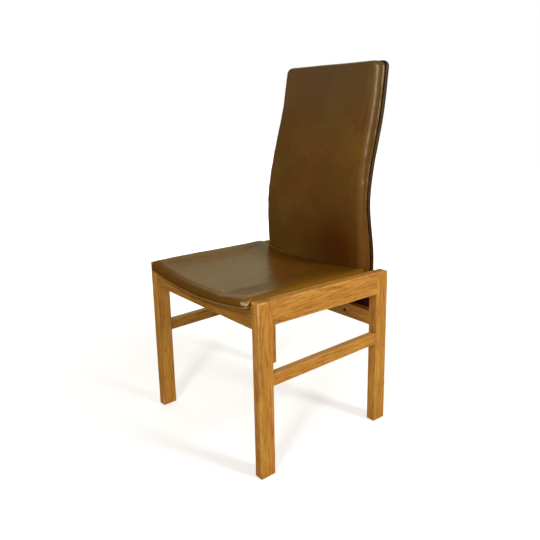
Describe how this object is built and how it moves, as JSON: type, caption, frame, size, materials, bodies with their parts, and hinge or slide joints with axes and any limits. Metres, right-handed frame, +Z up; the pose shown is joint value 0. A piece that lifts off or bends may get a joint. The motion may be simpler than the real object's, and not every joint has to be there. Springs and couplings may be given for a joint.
{
  "type": "high-back dining chair",
  "caption": "Oak-framed dining chair with a dished leather seat between the side rails and a tall, S-curved leather back on a moulded shell.",
  "frame": {"origin": "on the floor, under the middle of the chair's overall box", "axes": "+X towards the right of someone who looks along +Y at the chair's front, +Y towards the back, +Z up"},
  "size_m": [0.485, 0.5478, 0.9845],
  "materials": {
    "oak": "oiled oak, open grain",
    "beech": "plain beech",
    "plywood": "moulded beech plywood",
    "leather": "semi-gloss olive brown leather",
    "foam": "foam",
    "lining": "woven dust cover",
    "steel": "zinc plated"
  },
  "bodies": {
    "root": {"front_leg_left": "oak", "front_leg_right": "oak", "rear_leg_left": "oak", "rear_leg_right": "oak", "side_rail_left": "oak", "side_rail_right": "oak", "side_stretcher_left": "oak", "side_stretcher_right": "oak", "front_rail": "oak", "seat_bearer": "beech", "rear_rail": "oak", "dowels": "beech", "corner_block_front_left": "beech", "corner_block_front_right": "beech", "corner_block_rear_left": "beech", "corner_block_rear_right": "beech", "seat_shell": "plywood", "seat_edge_band": "leather", "seat_dust_cover": "lining", "seat_foam": "foam", "seat_cover": "leather", "seat_welt": "leather", "seat_bolts": "steel", "seat_tee_nuts": "steel", "back_shell": "plywood", "back_shell_cover": "leather", "back_foam": "foam", "back_front_cover": "leather", "back_bolts": "steel", "back_tee_nuts": "steel"}
  },
  "joints": []
}
